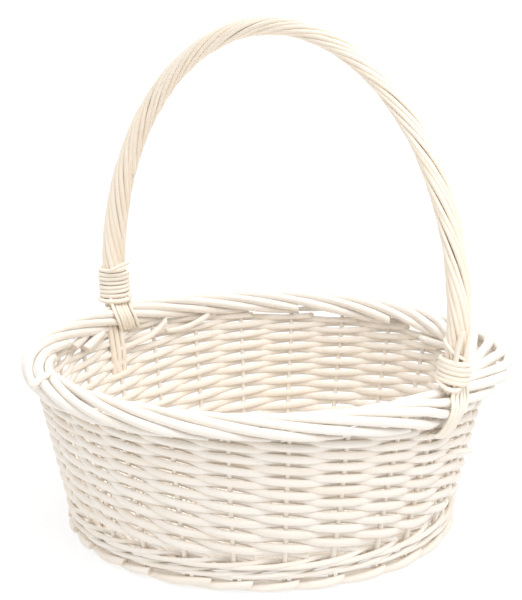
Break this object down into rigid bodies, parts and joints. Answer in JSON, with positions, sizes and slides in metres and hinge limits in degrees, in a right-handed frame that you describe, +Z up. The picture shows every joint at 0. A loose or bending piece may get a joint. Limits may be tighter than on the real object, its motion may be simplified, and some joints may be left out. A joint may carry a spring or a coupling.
{
  "type": "woven market basket",
  "caption": "Round woven willow market basket with flared sides, a thick rolled rim and a tall fixed roped bow handle.",
  "frame": {"origin": "on the resting plane, at the middle of the foot border, under the middle of the handle's span", "axes": "+Z up towards the top of the handle; X runs from one handle foot to the other, with the thicker foot at -X; Y is across the handle"},
  "size_m": [0.4186, 0.3965, 0.4218],
  "materials": {
    "side_willow": "satin",
    "rim_willow": "satin",
    "handle_willow": "satin",
    "base_willow": "satin"
  },
  "bodies": {
    "root": {"base_stick_01": "base_willow", "base_stick_02": "base_willow", "base_stick_03": "base_willow", "base_stick_04": "base_willow", "base_stick_05": "base_willow", "base_stick_06": "base_willow", "base_stick_07": "base_willow", "base_stick_08": "base_willow", "base_stick_09": "base_willow", "base_stick_10": "base_willow", "base_stick_11": "base_willow", "base_stick_12": "base_willow", "base_stick_13": "base_willow", "base_weave_lower": "base_willow", "base_weave_upper": "base_willow", "foot_border": "side_willow", "handle_binding_left": "handle_willow", "handle_binding_right": "handle_willow", "handle_bow_rod_1": "handle_willow", "handle_bow_rod_2": "handle_willow", "handle_bow_rod_3": "handle_willow", "handle_rope_bundle_1": "handle_willow", "handle_rope_bundle_2": "handle_willow", "handle_rope_bundle_3": "handle_willow", "handle_rope_bundle_4": "handle_willow", "handle_strap_left": "handle_willow", "handle_strap_right": "handle_willow", "rim_strand_1": "rim_willow", "rim_strand_2": "rim_willow", "rim_strand_3": "rim_willow", "rim_strand_4": "rim_willow", "side_weave_inner": "side_willow", "side_weave_outer": "side_willow", "stake_01": "side_willow", "stake_02": "side_willow", "stake_03": "side_willow", "stake_04": "side_willow", "stake_05": "side_willow", "stake_06": "side_willow", "stake_07": "side_willow", "stake_08": "side_willow", "stake_09": "side_willow", "stake_10": "side_willow", "stake_11": "side_willow", "stake_12": "side_willow", "stake_13": "side_willow", "stake_14": "side_willow", "stake_15": "side_willow", "stake_16": "side_willow", "stake_17": "side_willow", "stake_18": "side_willow", "stake_19": "side_willow", "stake_20": "side_willow", "stake_21": "side_willow", "stake_22": "side_willow", "stake_23": "side_willow", "stake_24": "side_willow", "stake_25": "side_willow", "stake_26": "side_willow", "upsett_wale": "side_willow"}
  },
  "joints": []
}
